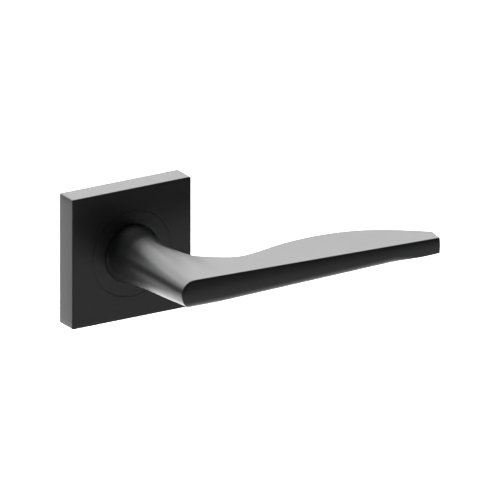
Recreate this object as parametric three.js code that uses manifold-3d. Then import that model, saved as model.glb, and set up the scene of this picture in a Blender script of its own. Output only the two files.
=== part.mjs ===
// A door lever handle on a square rose: one sprung half set, for one side of a door.
//
// Everything is drawn as it is seen from the front of the door: x to the right, y up and z outward
// from the door's face, in millimetres. The whole set is then turned to stand with +Z up, so that
// "outward" becomes -Y. The origin is on the spindle's axis, in the plane of the door's face.

import * as THREE from "three";
import { mergeVertices } from "three/addons/utils/BufferGeometryUtils.js";
import Module from "manifold-3d";

const wasm = await Module();
wasm.setup();

// ---------------------------------------------------------------- driving dimensions

const GAP = 0.3; // between pieces that touch or slide

// The rose, which is the square cover that the lever turns in.
const ROSE_SIDE = 52;
const ROSE_DEPTH = 9.5;
const ROSE_WALL = 1.5;
const ROSE_CORNER = 0.5;
const ROSE_INNER = ROSE_SIDE / 2 - ROSE_WALL;
const ROSE_CEILING = ROSE_DEPTH - ROSE_WALL;

// The lever: a round neck that flattens into a tapering blade.
const NECK_RADIUS = 11.45; // where it enters the rose
const NECK_FOOT = 8.9; // height of its shoulder above the door's face
const NECK_WAIST = 8; // reach of its right side where it is narrowest
const WAIST_Z = 24;
const COVE_DEPTH = 0.45; // a shallow hollow round the neck, just outside the rose
const COVE_LENGTH = 11;
const FLAT_FROM = 58; // height at which the neck's top has become flat
const REACH = 60; // from the door's face to the front of the lever
const FRONT_LEFT = -8; // left end of the lever's front face
const LEVER_TIP = 105.5; // from the spindle's axis to the free end
const TIP_SLOPE = 1; // the end face leans back by this much at the front
const HALF_HEIGHT_AT_AXIS = 5.2; // of the blade
const TAPER = 0.0242; // half height lost for each millimetre along the blade

// The tail behind the neck, which turns in the rose and carries the driver.
const TAIL_RADIUS = 8;
const TAIL_END = -2.2;
const TAIL_FLAT = 6.8; // half the width across its two flats
const GROOVE_DEPTH = 1.2;
const CIRCLIP_BACK = -1.1;
const CIRCLIP_FRONT = -0.1;
const CIRCLIP_OUTER = 10.2;

// The collar ring lies flush in the rose's face, in a stepped seat.
const RING_INNER = NECK_RADIUS + GAP;
const RING_OUTER = 16.9;
const SEAT_RADIUS = 14.5;
const SEAT_HEIGHT = 8.6;

// The cast plate inside the rose, closed at the back by a steel sheet.
const SHEET_THICKNESS = 1;
const SHEET_HOLE = 11.2;
const PLATE_HALF = ROSE_INNER - GAP;
const PLATE_BACK = SHEET_THICKNESS + GAP;
const PLATE_CEILING = 6.4;
const PLATE_FRONT = ROSE_CEILING - GAP;
const CHAMBER_RADIUS = 14.8; // round room for the spring
const POCKET_RADIUS = 18.8; // fan-shaped room above it, for the spring's legs and the driver's tab
const BOSS_RADIUS = 11.4;

const SLEEVE_BACK = 3.4;
const SLEEVE_INNER = TAIL_RADIUS + GAP;
const SLEEVE_OUTER = 9.6;
const SLEEVE_FLANGE = 11.4;

// The return spring's legs stand each side of the driver's tab and of a fixed lug above it.
const TURN_LIMIT = 45; // degrees that the lever turns each way
const TAB_HALF_ANGLE = 9.5;
const TAB_INNER = 15;
const TAB_OUTER = 16.3;
const LUG_INNER = 16.9;
const LUG_OUTER = 18;
const DRIVER_FRONT = 2.6;
const LEG_ANGLE = 15; // from straight up to the middle of each leg
const LEG_END = 18.3;
const POCKET_HALF_ANGLE = TURN_LIMIT + LEG_ANGLE + 7;
const WIRE_RADIAL = 2;
const WIRE_AXIAL = 0.9;
const SPRING_RADIUS = 13; // to the middle of the wire
const SPRING_BACK = 2.9;
const SPRING_PITCH = 1.2;
const SPRING_TURNS = 2 - LEG_ANGLE / 180;

// Fasteners, spindle and small springs.
const POST_SPACING = 38; // between the two bolt-through posts
const POST_RADIUS = 3.5;
const POST_BEHIND = 5; // how far the posts reach into the door
const BOLT_RADIUS = 1.65; // core of the M4 thread in each post
const BOLT_DEPTH = 5; // where the thread ends, inside the plate
const SPINDLE_SIDE = 8;
const SPINDLE_REACH = 34; // each way from the door's face
const GRUB_RADIUS = 2.5; // M5
const GRUB_Z = 24;
const GRUB_SOCKET = 1.45;
const SCREW_PLACE = 20; // from the axis, along x and along y
const SCREW_RADIUS = 1.2;
const SCREW_HEAD = 2.2;
const SCREW_TIP = 5.2;
const WASHER_THICKNESS = 0.3;
const WASHER_MIDDLE = 0.6;
const WASHER_WAVE = 0.15;
const CLIP_WIDTH = 8;
const CLIP_OFFSET = 12; // from the middle of each side of the plate
const CLIP_SEAT = 22.6;

const QUARTER = Math.PI / 2;
const { degToRad, lerp, clamp } = THREE.MathUtils;

// ---------------------------------------------------------------- materials

const blackPaint = { color: 0x17181a, roughness: 0.38, metalness: 0.1 };
const castZinc = { color: 0x8d8f92, roughness: 0.55, metalness: 0.8 };
const sheetSteel = { color: 0xa7aaad, roughness: 0.4, metalness: 0.9 };
const springSteel = { color: 0x5f6266, roughness: 0.35, metalness: 0.9 };
const darkSteel = { color: 0x2b2c2e, roughness: 0.45, metalness: 0.7 };
const nylon = { color: 0xe6e3da, roughness: 0.6, metalness: 0 };

// ---------------------------------------------------------------- joining and cutting

function solid(geometry) {
  const bare = geometry.clone();
  bare.deleteAttribute("normal");
  bare.deleteAttribute("uv");
  const merged = mergeVertices(bare, 1e-4);
  const vertProperties = merged.attributes.position.array;
  const triVerts = new Uint32Array(merged.index.array);
  return new wasm.Manifold(new wasm.Mesh({ numProp: 3, vertProperties, triVerts }));
}

function geometryOf(whole) {
  const mesh = whole.getMesh();
  const geometry = new THREE.BufferGeometry();
  geometry.setAttribute("position", new THREE.BufferAttribute(mesh.vertProperties, 3));
  geometry.setIndex(new THREE.BufferAttribute(mesh.triVerts, 1));
  return geometry;
}

function join(first, ...others) {
  return geometryOf(others.reduce((whole, other) => whole.add(solid(other)), solid(first)));
}

function cut(first, ...others) {
  return geometryOf(others.reduce((whole, other) => whole.subtract(solid(other)), solid(first)));
}

// ---------------------------------------------------------------- simple solids

// A flat outline made thick, from one height above the door to another.
function slab(shape, from, to, curveSegments = 12) {
  const options = { depth: to - from, bevelEnabled: false, curveSegments };
  return new THREE.ExtrudeGeometry(shape, options).translate(0, 0, from);
}

function box(width, height, from, to, x = 0, y = 0) {
  return new THREE.BoxGeometry(width, height, to - from).translate(x, y, (from + to) / 2);
}

function rod(radius, from, to, x = 0, y = 0, sides = 36) {
  const cylinder = new THREE.CylinderGeometry(radius, radius, to - from, sides);
  return cylinder.rotateX(QUARTER).translate(x, y, (from + to) / 2);
}

// A short rod that stands up and down, where the grub screw goes.
function upright(radius, low, high, sides = 20) {
  return new THREE.CylinderGeometry(radius, radius, high - low, sides).translate(0, (low + high) / 2, GRUB_Z);
}

// A piece turned about the spindle's axis, from a closed profile of [radius, height] corners that
// runs anticlockwise. The lathe turns about y, and the quarter turn brings its y to z.
function turned(profile, sides = 40) {
  const corners = [...profile, profile[0]].map(([radius, height]) => new THREE.Vector2(radius, height));
  return new THREE.LatheGeometry(corners, sides).rotateX(QUARTER);
}

function ring(inner, outer, from, to) {
  return turned([[inner, from], [outer, from], [outer, to], [inner, to]]);
}

// ---------------------------------------------------------------- outlines

function roundedSquare(half, corner) {
  const shape = new THREE.Shape();
  for (let side = 0; side < 4; side++) {
    const start = side * QUARTER;
    const diagonal = (half - corner) * Math.SQRT2;
    const x = diagonal * Math.cos(start + QUARTER / 2);
    const y = diagonal * Math.sin(start + QUARTER / 2);
    shape.absarc(x, y, corner, start, start + QUARTER, false);
  }
  return shape;
}

// A piece of a ring centred on straight up, with its half angle in degrees.
function topSector(inner, outer, halfAngle) {
  const first = QUARTER - degToRad(halfAngle);
  const last = QUARTER + degToRad(halfAngle);
  const shape = new THREE.Shape();
  shape.absarc(0, 0, outer, first, last, false);
  shape.absarc(0, 0, inner, last, first, true);
  return shape;
}

// A circle with a flat on its left and right, for the tail's end and the hole that keys onto it.
function flattedCircle(radius, flat) {
  const corner = Math.acos(flat / radius);
  const shape = new THREE.Shape();
  shape.absarc(0, 0, radius, corner, Math.PI - corner, false);
  shape.absarc(0, 0, radius, Math.PI + corner, 2 * Math.PI - corner, false);
  return shape;
}

// ---------------------------------------------------------------- the lever

// The neck's section is two half ellipses. They draw apart towards the front and leave a flat
// between them, while the height falls from the round neck's to the blade's.
function flattening(z) {
  return clamp((z - ROSE_DEPTH) / (FLAT_FROM - ROSE_DEPTH), 0, 1);
}

function cove(z) {
  const along = clamp((z - ROSE_DEPTH) / COVE_LENGTH, 0, 1);
  return COVE_DEPTH * Math.sin(Math.PI * along) ** 2;
}

function neckHalfHeight(z) {
  return lerp(HALF_HEIGHT_AT_AXIS, NECK_RADIUS, (1 - flattening(z)) ** 1.27) - cove(z);
}

function neckLeft(z) {
  const along = clamp((z - ROSE_DEPTH) / (REACH - ROSE_DEPTH), 0, 1);
  return lerp(NECK_RADIUS, -FRONT_LEFT, along ** 0.5);
}

function neckRight(z) {
  const along = clamp((z - ROSE_DEPTH) / (WAIST_Z - ROSE_DEPTH), 0, 1);
  return lerp(NECK_WAIST, NECK_RADIUS, (1 - along) ** 1.3);
}

function neck() {
  const body = new THREE.CylinderGeometry(1, 1, REACH - NECK_FOOT, 44, 16).rotateX(QUARTER);
  const point = body.translate(0, 0, (REACH + NECK_FOOT) / 2).attributes.position;
  for (let i = 0; i < point.count; i++) {
    const z = point.getZ(i);
    const side = Math.sign(Math.round(point.getX(i) * 1e6));
    const reach = side < 0 ? neckLeft(z) : neckRight(z);
    const apart = flattening(z) * (-FRONT_LEFT - HALF_HEIGHT_AT_AXIS);
    point.setX(i, side * apart + point.getX(i) * (reach - apart));
    point.setY(i, point.getY(i) * neckHalfHeight(z));
  }
  return body;
}

// The blade in plan, with z upward on the drawing. Its back edge sweeps out of the neck to a
// waist, swells to a belly and rounds to the shoulder of the tip.
function bladePlan() {
  const waist = { x: 27.3, z: 43.9 };
  const belly = { x: 66.5, z: 37 };
  const shoulder = { x: LEVER_TIP, z: 53.8 };
  const root = { x: 6, z: 24 }; // inside the neck
  const left = FRONT_LEFT + HALF_HEIGHT_AT_AXIS;
  const plan = new THREE.Shape();
  plan.moveTo(left, REACH);
  plan.lineTo(left, root.z);
  plan.lineTo(root.x, root.z);
  plan.bezierCurveTo(7.6, 34, 21.5, waist.z, waist.x, waist.z);
  plan.bezierCurveTo(37.5, waist.z, 44, belly.z, belly.x, belly.z);
  plan.bezierCurveTo(84, belly.z, shoulder.x, 47, shoulder.x, shoulder.z);
  plan.lineTo(LEVER_TIP - TIP_SLOPE, REACH);
  return plan;
}

// The plan is made two millimetres thick, then each point is scaled to the blade's half height.
function blade() {
  const body = slab(bladePlan(), -1, 1, 14).rotateX(QUARTER);
  const point = body.attributes.position;
  for (let i = 0; i < point.count; i++) {
    point.setY(i, point.getY(i) * (HALF_HEIGHT_AT_AXIS - TAPER * point.getX(i)));
  }
  return body;
}

function tail() {
  const shaft = rod(TAIL_RADIUS, SLEEVE_BACK - GAP, NECK_FOOT + 1);
  const keyed = slab(flattedCircle(TAIL_RADIUS, TAIL_FLAT), TAIL_END, SLEEVE_BACK);
  return join(shaft, keyed);
}

function lever() {
  const hole = SPINDLE_SIDE + 2 * GAP;
  const spindleHole = box(hole, hole, TAIL_END - 1, SPINDLE_REACH + 1);
  const groove = ring(TAIL_RADIUS - GROOVE_DEPTH, TAIL_RADIUS + 1, CIRCLIP_BACK - 0.2, CIRCLIP_FRONT + 0.2);
  const grubHole = upright(GRUB_RADIUS + GAP, -NECK_RADIUS, -SPINDLE_SIDE / 2);
  return cut(join(neck(), blade(), tail()), spindleHole, groove, grubHole);
}

// ---------------------------------------------------------------- pieces that turn with the lever

// The driver keys onto the tail's flats. Its tab stands forward between the spring's legs.
function driverPlate() {
  const face = rod(CHAMBER_RADIUS - 2 * GAP, PLATE_BACK, DRIVER_FRONT);
  const arm = slab(topSector(CHAMBER_RADIUS - 2, TAB_OUTER, TAB_HALF_ANGLE), PLATE_BACK, DRIVER_FRONT, 4);
  const tab = slab(topSector(TAB_INNER, TAB_OUTER, TAB_HALF_ANGLE), PLATE_BACK, PLATE_CEILING - GAP, 4);
  const key = slab(flattedCircle(TAIL_RADIUS + GAP, TAIL_FLAT + GAP), 0, PLATE_CEILING);
  return cut(join(face, arm, tab), key);
}

// A thin ring with three waves, which keeps the driver from rattling against the circlip.
function waveWasher() {
  const washer = ring(TAIL_RADIUS + GAP, CIRCLIP_OUTER, 0, WASHER_THICKNESS);
  const point = washer.attributes.position;
  for (let i = 0; i < point.count; i++) {
    const angle = Math.atan2(point.getY(i), point.getX(i));
    point.setZ(i, point.getZ(i) + WASHER_MIDDLE + WASHER_WAVE * Math.cos(3 * angle));
  }
  return washer;
}

// An open ring that sits in the tail's groove, with an ear and a hole at each of its ends.
function circlip() {
  const halfMouth = degToRad(16);
  const inner = TAIL_RADIUS - GROOVE_DEPTH + GAP;
  const shape = new THREE.Shape();
  shape.absarc(0, 0, CIRCLIP_OUTER, halfMouth - QUARTER, 1.5 * Math.PI - halfMouth, false);
  shape.absarc(0, 0, inner, 1.5 * Math.PI - halfMouth, halfMouth - QUARTER, true);
  const earHoles = [-1, 1].map((side) => {
    const angle = side * (halfMouth + degToRad(9)) - QUARTER;
    const middle = (inner + CIRCLIP_OUTER) / 2;
    return rod(0.7, CIRCLIP_BACK - 1, CIRCLIP_FRONT + 1, middle * Math.cos(angle), middle * Math.sin(angle), 12);
  });
  return cut(slab(shape, CIRCLIP_BACK, CIRCLIP_FRONT, 24), ...earHoles);
}

function spindle() {
  return slab(roundedSquare(SPINDLE_SIDE / 2, 0.6), -SPINDLE_REACH, SPINDLE_REACH, 2);
}

function grubScrew() {
  const low = -neckHalfHeight(GRUB_Z) + 2 * GAP;
  const high = -SPINDLE_SIDE / 2 - GAP;
  const socket = upright(GRUB_SOCKET, low - 1, low + 2, 6);
  return cut(upright(GRUB_RADIUS, low, high), socket);
}

// ---------------------------------------------------------------- pieces that stay on the door

function coverRose() {
  const block = slab(roundedSquare(ROSE_SIDE / 2, ROSE_CORNER), 0, ROSE_DEPTH, 3);
  const hollow = box(2 * ROSE_INNER, 2 * ROSE_INNER, -1, ROSE_CEILING);
  const throughHole = rod(SEAT_RADIUS, ROSE_CEILING - 1, ROSE_DEPTH + 1, 0, 0, 60);
  const seat = rod(RING_OUTER + GAP, SEAT_HEIGHT, ROSE_DEPTH + 1, 0, 0, 60);
  return cut(block, hollow, throughHole, seat);
}

function collarRing() {
  const neckOfRing = SEAT_RADIUS - GAP;
  const underside = SEAT_HEIGHT + GAP;
  return turned([
    [RING_INNER, ROSE_CEILING],
    [neckOfRing, ROSE_CEILING],
    [neckOfRing, underside],
    [RING_OUTER, underside],
    [RING_OUTER, ROSE_DEPTH],
    [RING_INNER, ROSE_DEPTH],
  ], 60);
}

// The four corners of the plate and sheet take the sheet's screws.
const screwPlaces = [[1, 1], [-1, 1], [-1, -1], [1, -1]].map(([x, y]) => [x * SCREW_PLACE, y * SCREW_PLACE]);
const postPlaces = [-POST_SPACING / 2, POST_SPACING / 2];

// One clip stands on each side of the plate, a little way round from the middle.
const clipTurns = [0, 1, 2, 3].map((side) => side * QUARTER);

function mountingPlate() {
  const block = slab(roundedSquare(PLATE_HALF, ROSE_CORNER), PLATE_BACK, PLATE_FRONT, 3);
  const chamber = ring(BOSS_RADIUS, CHAMBER_RADIUS, PLATE_BACK - 1, PLATE_CEILING);
  const behindBoss = rod(BOSS_RADIUS + 1, PLATE_BACK - 1, SLEEVE_BACK);
  const pocket = slab(topSector(CHAMBER_RADIUS - 1, POCKET_RADIUS, POCKET_HALF_ANGLE), 0, PLATE_CEILING, 24);
  const bore = rod(SLEEVE_OUTER + GAP, 0, ROSE_DEPTH);
  const postHoles = postPlaces.map((x) => rod(POST_RADIUS + GAP, 0, ROSE_DEPTH, x, 0, 24));
  const screwHoles = screwPlaces.map(([x, y]) => rod(SCREW_RADIUS + GAP, 0, SCREW_TIP + GAP, x, y, 16));
  const clipPockets = clipTurns.map((turn) => {
    const width = CLIP_WIDTH + 2 * GAP;
    return box(4, width, 0, ROSE_DEPTH, CLIP_SEAT + 2, CLIP_OFFSET).rotateZ(turn);
  });
  const lug = slab(topSector(LUG_INNER, LUG_OUTER, TAB_HALF_ANGLE), DRIVER_FRONT + GAP, PLATE_FRONT - GAP, 4);
  const hollowed = cut(block, chamber, behindBoss, pocket, bore, ...postHoles, ...screwHoles, ...clipPockets);
  return join(hollowed, lug);
}

function backSheet() {
  const sheet = slab(roundedSquare(PLATE_HALF, ROSE_CORNER), 0, SHEET_THICKNESS, 3);
  const tailHole = rod(SHEET_HOLE, -1, 2);
  const postHoles = postPlaces.map((x) => rod(POST_RADIUS + GAP, -1, 2, x, 0, 24));
  const countersinks = screwPlaces.map(([x, y]) => {
    const cone = new THREE.CylinderGeometry(SCREW_RADIUS + GAP, SCREW_HEAD + GAP, SHEET_THICKNESS + 0.02, 24);
    return cone.rotateX(QUARTER).translate(x, y, SHEET_THICKNESS / 2);
  });
  return cut(sheet, tailHole, ...postHoles, ...countersinks);
}

function bearingSleeve() {
  const underFlange = PLATE_FRONT + GAP;
  const top = NECK_FOOT - GAP;
  return turned([
    [SLEEVE_INNER, SLEEVE_BACK],
    [SLEEVE_OUTER, SLEEVE_BACK],
    [SLEEVE_OUTER, underFlange],
    [SLEEVE_FLANGE, underFlange],
    [SLEEVE_FLANGE, top],
    [SLEEVE_INNER, top],
  ]);
}

// A straight bar bent into a helix: its length becomes the angle round the axis, starting at the
// left leg and ending at the right one. A leg is joined on at each end.
function returnSpring() {
  const angle = 2 * Math.PI * SPRING_TURNS;
  const first = QUARTER + degToRad(LEG_ANGLE);
  const coil = new THREE.BoxGeometry(angle, WIRE_RADIAL, WIRE_AXIAL, 60, 1, 1);
  const point = coil.attributes.position;
  for (let i = 0; i < point.count; i++) {
    const turn = point.getX(i) + angle / 2;
    const radius = SPRING_RADIUS - point.getY(i);
    const rise = SPRING_BACK + WIRE_AXIAL / 2 + (SPRING_PITCH * turn) / (2 * Math.PI);
    const z = point.getZ(i) + rise;
    point.setXYZ(i, radius * Math.cos(first + turn), radius * Math.sin(first + turn), z);
  }
  const top = SPRING_BACK + SPRING_PITCH * SPRING_TURNS;
  const legs = [[1, SPRING_BACK], [-1, top]].map(([side, back]) => {
    const inner = SPRING_RADIUS - WIRE_RADIAL / 2 + 0.4;
    const leg = box(WIRE_RADIAL, LEG_END - inner, back, back + WIRE_AXIAL, 0, (LEG_END + inner) / 2);
    return leg.rotateZ(side * degToRad(LEG_ANGLE));
  });
  return join(coil, ...legs);
}

function fixingPost(x) {
  const post = rod(POST_RADIUS, -POST_BEHIND, PLATE_FRONT, x, 0, 24);
  return cut(post, rod(BOLT_RADIUS, -POST_BEHIND - 1, BOLT_DEPTH, x, 0, 16));
}

// A countersunk screw with its head at the back and a cross recess.
function sheetScrew(x, y) {
  const profile = [
    [0, 0],
    [SCREW_HEAD, 0],
    [SCREW_RADIUS, SHEET_THICKNESS],
    [SCREW_RADIUS, SCREW_TIP],
    [0, SCREW_TIP],
  ];
  const recess = [[2.6, 0.6], [0.6, 2.6]].map(([width, height]) => box(width, height, -1, 0.6));
  return cut(turned(profile, 16), ...recess).translate(x, y, 0);
}

// A bowed strip between the plate and the rose's wall, which grips the rose.
function coverClip(turn) {
  const inner = CLIP_SEAT + GAP;
  const crown = PLATE_HALF - 0.1;
  const middle = (PLATE_BACK + PLATE_FRONT) / 2;
  const foot = PLATE_BACK + GAP;
  const head = PLATE_FRONT - GAP;
  const strip = 0.4;
  const profile = new THREE.Shape();
  profile.moveTo(inner, foot);
  profile.lineTo(inner + strip, foot);
  profile.quadraticCurveTo(2 * crown - inner - strip, middle, inner + strip, head);
  profile.lineTo(inner, head);
  profile.quadraticCurveTo(2 * crown - inner - 2 * strip, middle, inner, foot);
  const bow = slab(profile, -CLIP_WIDTH / 2, CLIP_WIDTH / 2, 8).rotateX(QUARTER);
  return bow.translate(0, CLIP_OFFSET, 0).rotateZ(turn);
}

// ---------------------------------------------------------------- the assembly

const handle = new THREE.Group();

function add(name, look, geometry) {
  const piece = new THREE.Mesh(geometry, new THREE.MeshStandardMaterial(look));
  piece.name = name;
  handle.add(piece);
}

add("lever", blackPaint, lever());
add("driver_plate", sheetSteel, driverPlate());
add("wave_washer", springSteel, waveWasher());
add("circlip", springSteel, circlip());
add("spindle", sheetSteel, spindle());
add("grub_screw", darkSteel, grubScrew());

add("rose_cover", blackPaint, coverRose());
add("collar_ring", blackPaint, collarRing());
add("mounting_plate", castZinc, mountingPlate());
add("back_sheet", sheetSteel, backSheet());
add("bearing_sleeve", nylon, bearingSleeve());
add("return_spring", springSteel, returnSpring());
["left", "right"].forEach((side, i) => add(`fixing_post_${side}`, sheetSteel, fixingPost(postPlaces[i])));
screwPlaces.forEach(([x, y], i) => add(`sheet_screw_${i + 1}`, darkSteel, sheetScrew(x, y)));
clipTurns.forEach((turn, i) => add(`cover_clip_${i + 1}`, springSteel, coverClip(turn)));

handle.rotation.x = QUARTER;

export default handle;
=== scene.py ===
# %% [markdown]
# # A black lever handle on a square rose
#
# A lever handle is a small machine with a plain face. Outside there is a flat blade on a round
# neck and a square cover. Behind the cover a spring, a bearing and a keyed plate do the work.
# The frame brings every working piece at its true size. This lesson gives the pieces their
# finished surfaces and finishes, then lights them.

# %% Load the frame
import math

import bmesh
import bpy
import numpy as np
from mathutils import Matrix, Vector


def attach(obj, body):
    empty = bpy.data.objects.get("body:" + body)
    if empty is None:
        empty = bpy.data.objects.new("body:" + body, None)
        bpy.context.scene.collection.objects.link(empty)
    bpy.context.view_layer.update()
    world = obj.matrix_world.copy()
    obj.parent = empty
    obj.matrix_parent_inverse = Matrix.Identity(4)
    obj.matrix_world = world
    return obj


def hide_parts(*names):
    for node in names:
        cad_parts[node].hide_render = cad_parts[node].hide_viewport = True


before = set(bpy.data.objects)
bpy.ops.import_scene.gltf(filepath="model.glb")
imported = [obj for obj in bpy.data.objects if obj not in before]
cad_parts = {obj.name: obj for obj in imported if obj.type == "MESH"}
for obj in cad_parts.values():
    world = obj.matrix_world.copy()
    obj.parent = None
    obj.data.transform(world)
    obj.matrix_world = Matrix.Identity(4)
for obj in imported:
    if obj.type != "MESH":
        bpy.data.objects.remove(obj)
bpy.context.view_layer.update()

# %% [markdown]
# ## How a surface becomes a mesh
#
# Each surface below is a grid of points: one direction runs along the shape, the other across
# it. `grid_quads` numbers the faces of such a grid. `build_mesh` takes any number of grids,
# welds their common borders and turns all faces outward. Lengths are worked out in millimetres,
# x to the right, z up and d outward from the door, because a maker's drawing reads that way.

# %% Grids, welding and smooth shading
MM = 0.001


def place(x, d, z):
    """Points of a drawing in millimetres as points of the scene: outward from the door is -y."""
    x, d, z = np.broadcast_arrays(x, d, z)
    return np.stack([x, -d, z], axis=-1) * MM


def grid_quads(rows, columns, wrap_rows=False, wrap_columns=False):
    """Corner numbers of the faces between neighbouring rows and columns. A wrapped side closes."""
    r = np.arange(rows if wrap_rows else rows - 1)[:, None]
    c = np.arange(columns if wrap_columns else columns - 1)[None, :]
    r_next, c_next = (r + 1) % rows, (c + 1) % columns
    corners = np.broadcast_arrays(
        r * columns + c, r_next * columns + c, r_next * columns + c_next, r * columns + c_next)
    return np.stack(corners, axis=-1).reshape(-1, 4)


def build_mesh(name, grids, sharp=35.0, weld=2e-6):
    """One mesh from grids of points. Each entry is the points and whether rows and columns wrap."""
    points, faces, count = [], [], 0
    for grid, wrap_rows, wrap_columns in grids:
        faces.append(grid_quads(grid.shape[0], grid.shape[1], wrap_rows, wrap_columns) + count)
        points.append(grid.reshape(-1, 3))
        count += len(points[-1])
    mesh = bpy.data.meshes.new(name)
    mesh.from_pydata(np.concatenate(points), [], np.concatenate(faces).tolist())
    work = bmesh.new()
    work.from_mesh(mesh)
    bmesh.ops.remove_doubles(work, verts=work.verts, dist=weld)
    bmesh.ops.dissolve_degenerate(work, edges=work.edges, dist=weld / 4)
    bmesh.ops.recalc_face_normals(work, faces=work.faces)
    open_edges = sum(1 for edge in work.edges if not edge.is_manifold)
    work.to_mesh(mesh)
    work.free()
    mesh.polygons.foreach_set("use_smooth", np.ones(len(mesh.polygons), bool))
    mesh.set_sharp_from_angle(angle=math.radians(sharp))
    print(f"{name}: {len(mesh.polygons)} faces, {open_edges} open edges")
    return mesh


def new_piece(name, mesh, body, replaces):
    """A piece in the scene that rides on a body and stands for one piece of the frame."""
    piece = bpy.data.objects.new(name, mesh)
    bpy.context.scene.collection.objects.link(piece)
    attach(piece, body)
    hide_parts(replaces)
    return piece


# %% [markdown]
# ## The lever's drawing
#
# The lever is one casting, nearly the same above and below its middle plane. Seen from above it
# has a round neck, a sharp turn at the front, and a blade whose back edge curves in to a waist
# and out to a belly where the hand closes. A casting like this could be carved from a block by
# sculpting, but its outline and its heights are simple curves, so a drawing gives truer
# surfaces: first the plan, then how high the top lies over each point of the plan.

# %% The lever's driving sizes, in millimetres
neck_radius = 11.45  # at the rose, where the neck is round
neck_foot = 8.9  # the neck starts a little inside the rose
rose_face = 9.5
flat_from = 58.0  # the neck's crown is gone from here on
crown_power = 1.27  # above 1 the crown falls fastest at the rose
cove_depth, cove_length = 0.45, 11.0
crown_fades = (3.0, 14.5)  # the crown fades out between these distances to the right
crown_blends = (24.0, 34.0)  # and does so only from here on outward
front = 59.5
left_end = 7.4  # reach of the left end at the front
left_power, left_full = 0.5, 60.0
axis_height = 5.2  # the blade's half height at the spindle's axis
taper = 0.0255  # half height lost for each millimetre to the right
tip_x = 106.3
tip_slant = 1.0  # the end face leans in this much towards the front
crease = 0.35  # radius of the sharp edge round the front face
crease_turn = math.radians(79)
back_rim = 0.5  # radius of the rim along the blade's back edge

crease_start = front - crease * math.sin(crease_turn)
end_apart = left_end - axis_height


def ease(value, first, last):
    """0 up to first, 1 from last on, and a smooth S between them."""
    share = np.clip((value - first) / (last - first), 0, 1)
    return share * share * (3 - 2 * share)


def flattening(d):
    """0 at the rose's face and 1 where the neck's top has become flat."""
    return np.clip((d - rose_face) / (flat_from - rose_face), 0, 1)


def cove(d):
    """A shallow hollow round the neck just outside the rose: a squared sine, as a depth."""
    return cove_depth * np.sin(math.pi * np.clip((d - rose_face) / cove_length, 0, 1)) ** 2


def crown(d):
    """How much higher the neck's top is than the blade's."""
    return (neck_radius - axis_height) * (1 - flattening(d)) ** crown_power - cove(d)


def neck_height(d):
    """Half height of the neck: from its radius at the rose down to the blade's half height."""
    return axis_height + crown(d)


def neck_left(d):
    """Reach of the neck's left side: quick at first, then nearly straight to the front."""
    along = np.clip((d - rose_face) / (left_full - rose_face), 0, 1)
    return neck_radius + (left_end - neck_radius) * along ** left_power


def half_apart(d):
    """How far the left half ellipse has drawn away from the axis, which leaves a flat top."""
    return flattening(d) * end_apart


def crease_inset(d):
    """How far the outline has drawn in over the small rounding behind the front face."""
    into = np.clip((d - crease_start) / crease, 0, 1)
    return crease * (1 - np.sqrt(1 - into ** 2))


def top_height(x, d):
    """Height of the top: the blade's half height with its taper, and over it the neck's crown,
    which fades out to the right once the sweep has begun."""
    kept = 1 - ease(x, *crown_fades) * ease(d, *crown_blends)
    return axis_height + crown(d) * kept - taper * np.maximum(x, 0) - crease_inset(d)


def bezier(p0, p1, p2, p3, count):
    """Points on the cubic curve that leaves p0 towards p1 and comes to p3 from p2."""
    t = np.linspace(0, 1, count)[:, None]
    terms = ((1 - t) ** 3, 3 * (1 - t) ** 2 * t, 3 * (1 - t) * t ** 2, t ** 3)
    return sum(term * np.array(p, float) for term, p in zip(terms, (p0, p1, p2, p3)))


def along_curve(curve, fractions):
    """Points at the given fractions of a polyline's length."""
    steps = np.concatenate([[0], np.cumsum(np.linalg.norm(np.diff(curve, axis=0), axis=1))])
    where = np.asarray(fractions) * steps[-1]
    return np.stack([np.interp(where, steps, curve[:, k]) for k in range(2)], axis=-1)


# Corners of the plan, as (x, d): where the neck's right side leaves the straight, the back
# edge's waist beside the neck, its belly nearest the door, and its end at the tip.
sweep_start = (8.0, 24.0)
waist = (27.3, 43.0)
belly = (66.5, 35.9)
shoulder = (tip_x, 51.6)

# %% [markdown]
# ## One grid for the top, one for the left end
#
# The plan has two long borders. The outer one runs down the middle of the neck to the corner
# and then along the front edge to the tip. The inner one runs down the neck's right side, round
# the sweep and along the back edge. Straight lines, the stations, join the two borders, and the
# points on them carry the heights. The left end is half an ellipse at every distance from the
# door, so it gets a grid of its own that shares the neck's middle line.

# %% Stations and heights
def spaced(first, last, count):
    """Evenly spaced numbers without the last one, so that stretches can follow each other."""
    return np.linspace(first, last, count, endpoint=False)


def middle_line(d):
    """The neck's middle line in plan, which bears left as the left half ellipse draws away."""
    return np.stack([-half_apart(d), d], axis=-1)


def fractions_of(curve):
    """How far along a polyline each of its points lies, from 0 to 1."""
    steps = np.linalg.norm(np.diff(curve, axis=0), axis=1)
    return np.concatenate([[0], np.cumsum(steps)]) / steps.sum()


# The straight part of the neck: each station runs level from the middle line to the right side,
# which draws in quickly at the rose and slowly before the sweep.
right_power = 1.3
neck_d = np.concatenate([spaced(neck_foot, rose_face, 2), spaced(rose_face, sweep_start[1], 20)])
neck_along = np.clip((neck_d - rose_face) / (sweep_start[1] - rose_face), 0, 1)
neck_right = neck_radius - (neck_radius - sweep_start[0]) * (1 - (1 - neck_along) ** right_power)

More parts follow.
